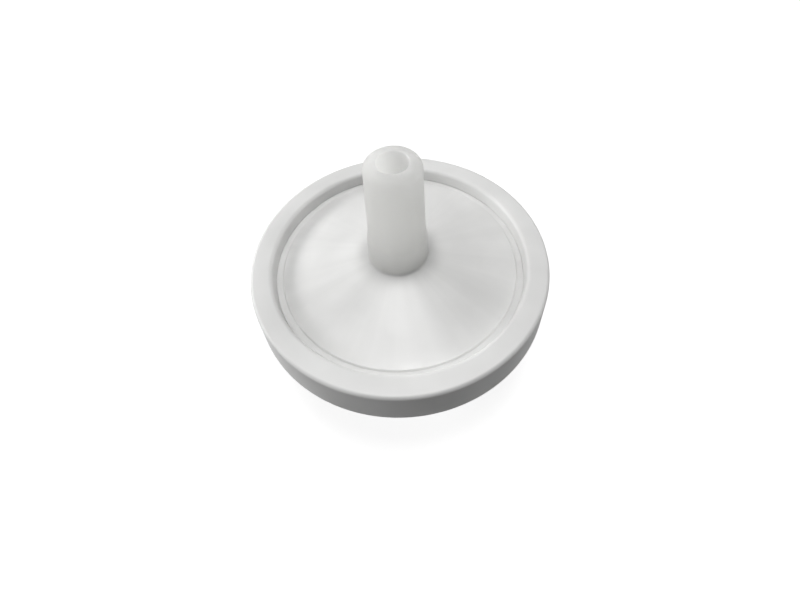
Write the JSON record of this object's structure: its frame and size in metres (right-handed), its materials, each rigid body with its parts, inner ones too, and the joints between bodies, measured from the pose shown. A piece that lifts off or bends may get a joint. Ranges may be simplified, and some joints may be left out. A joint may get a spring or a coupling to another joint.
{
  "type": "syringe filter",
  "caption": "Round disc syringe filter with a moulded rim, a male Luer outlet cone on top and a female Luer lock inlet underneath.",
  "frame": {"origin": "centre of the inlet's flat end face, on which the filter stands", "axes": "+Z along the flow axis from the inlet to the outlet tip; X through the two locking lugs"},
  "size_m": [0.024, 0.024, 0.0218],
  "materials": {
    "natural_polypropylene": "injection moulded, milky and slightly translucent, satin",
    "white_overmould": "moulded over the housings' edges, white, softly satin",
    "filter_membrane": "cast microporous sheet, matt white"
  },
  "bodies": {
    "root": {"inlet_housing": "natural_polypropylene", "membrane": "filter_membrane", "outlet_housing": "natural_polypropylene", "rim_ring": "white_overmould"}
  },
  "joints": []
}
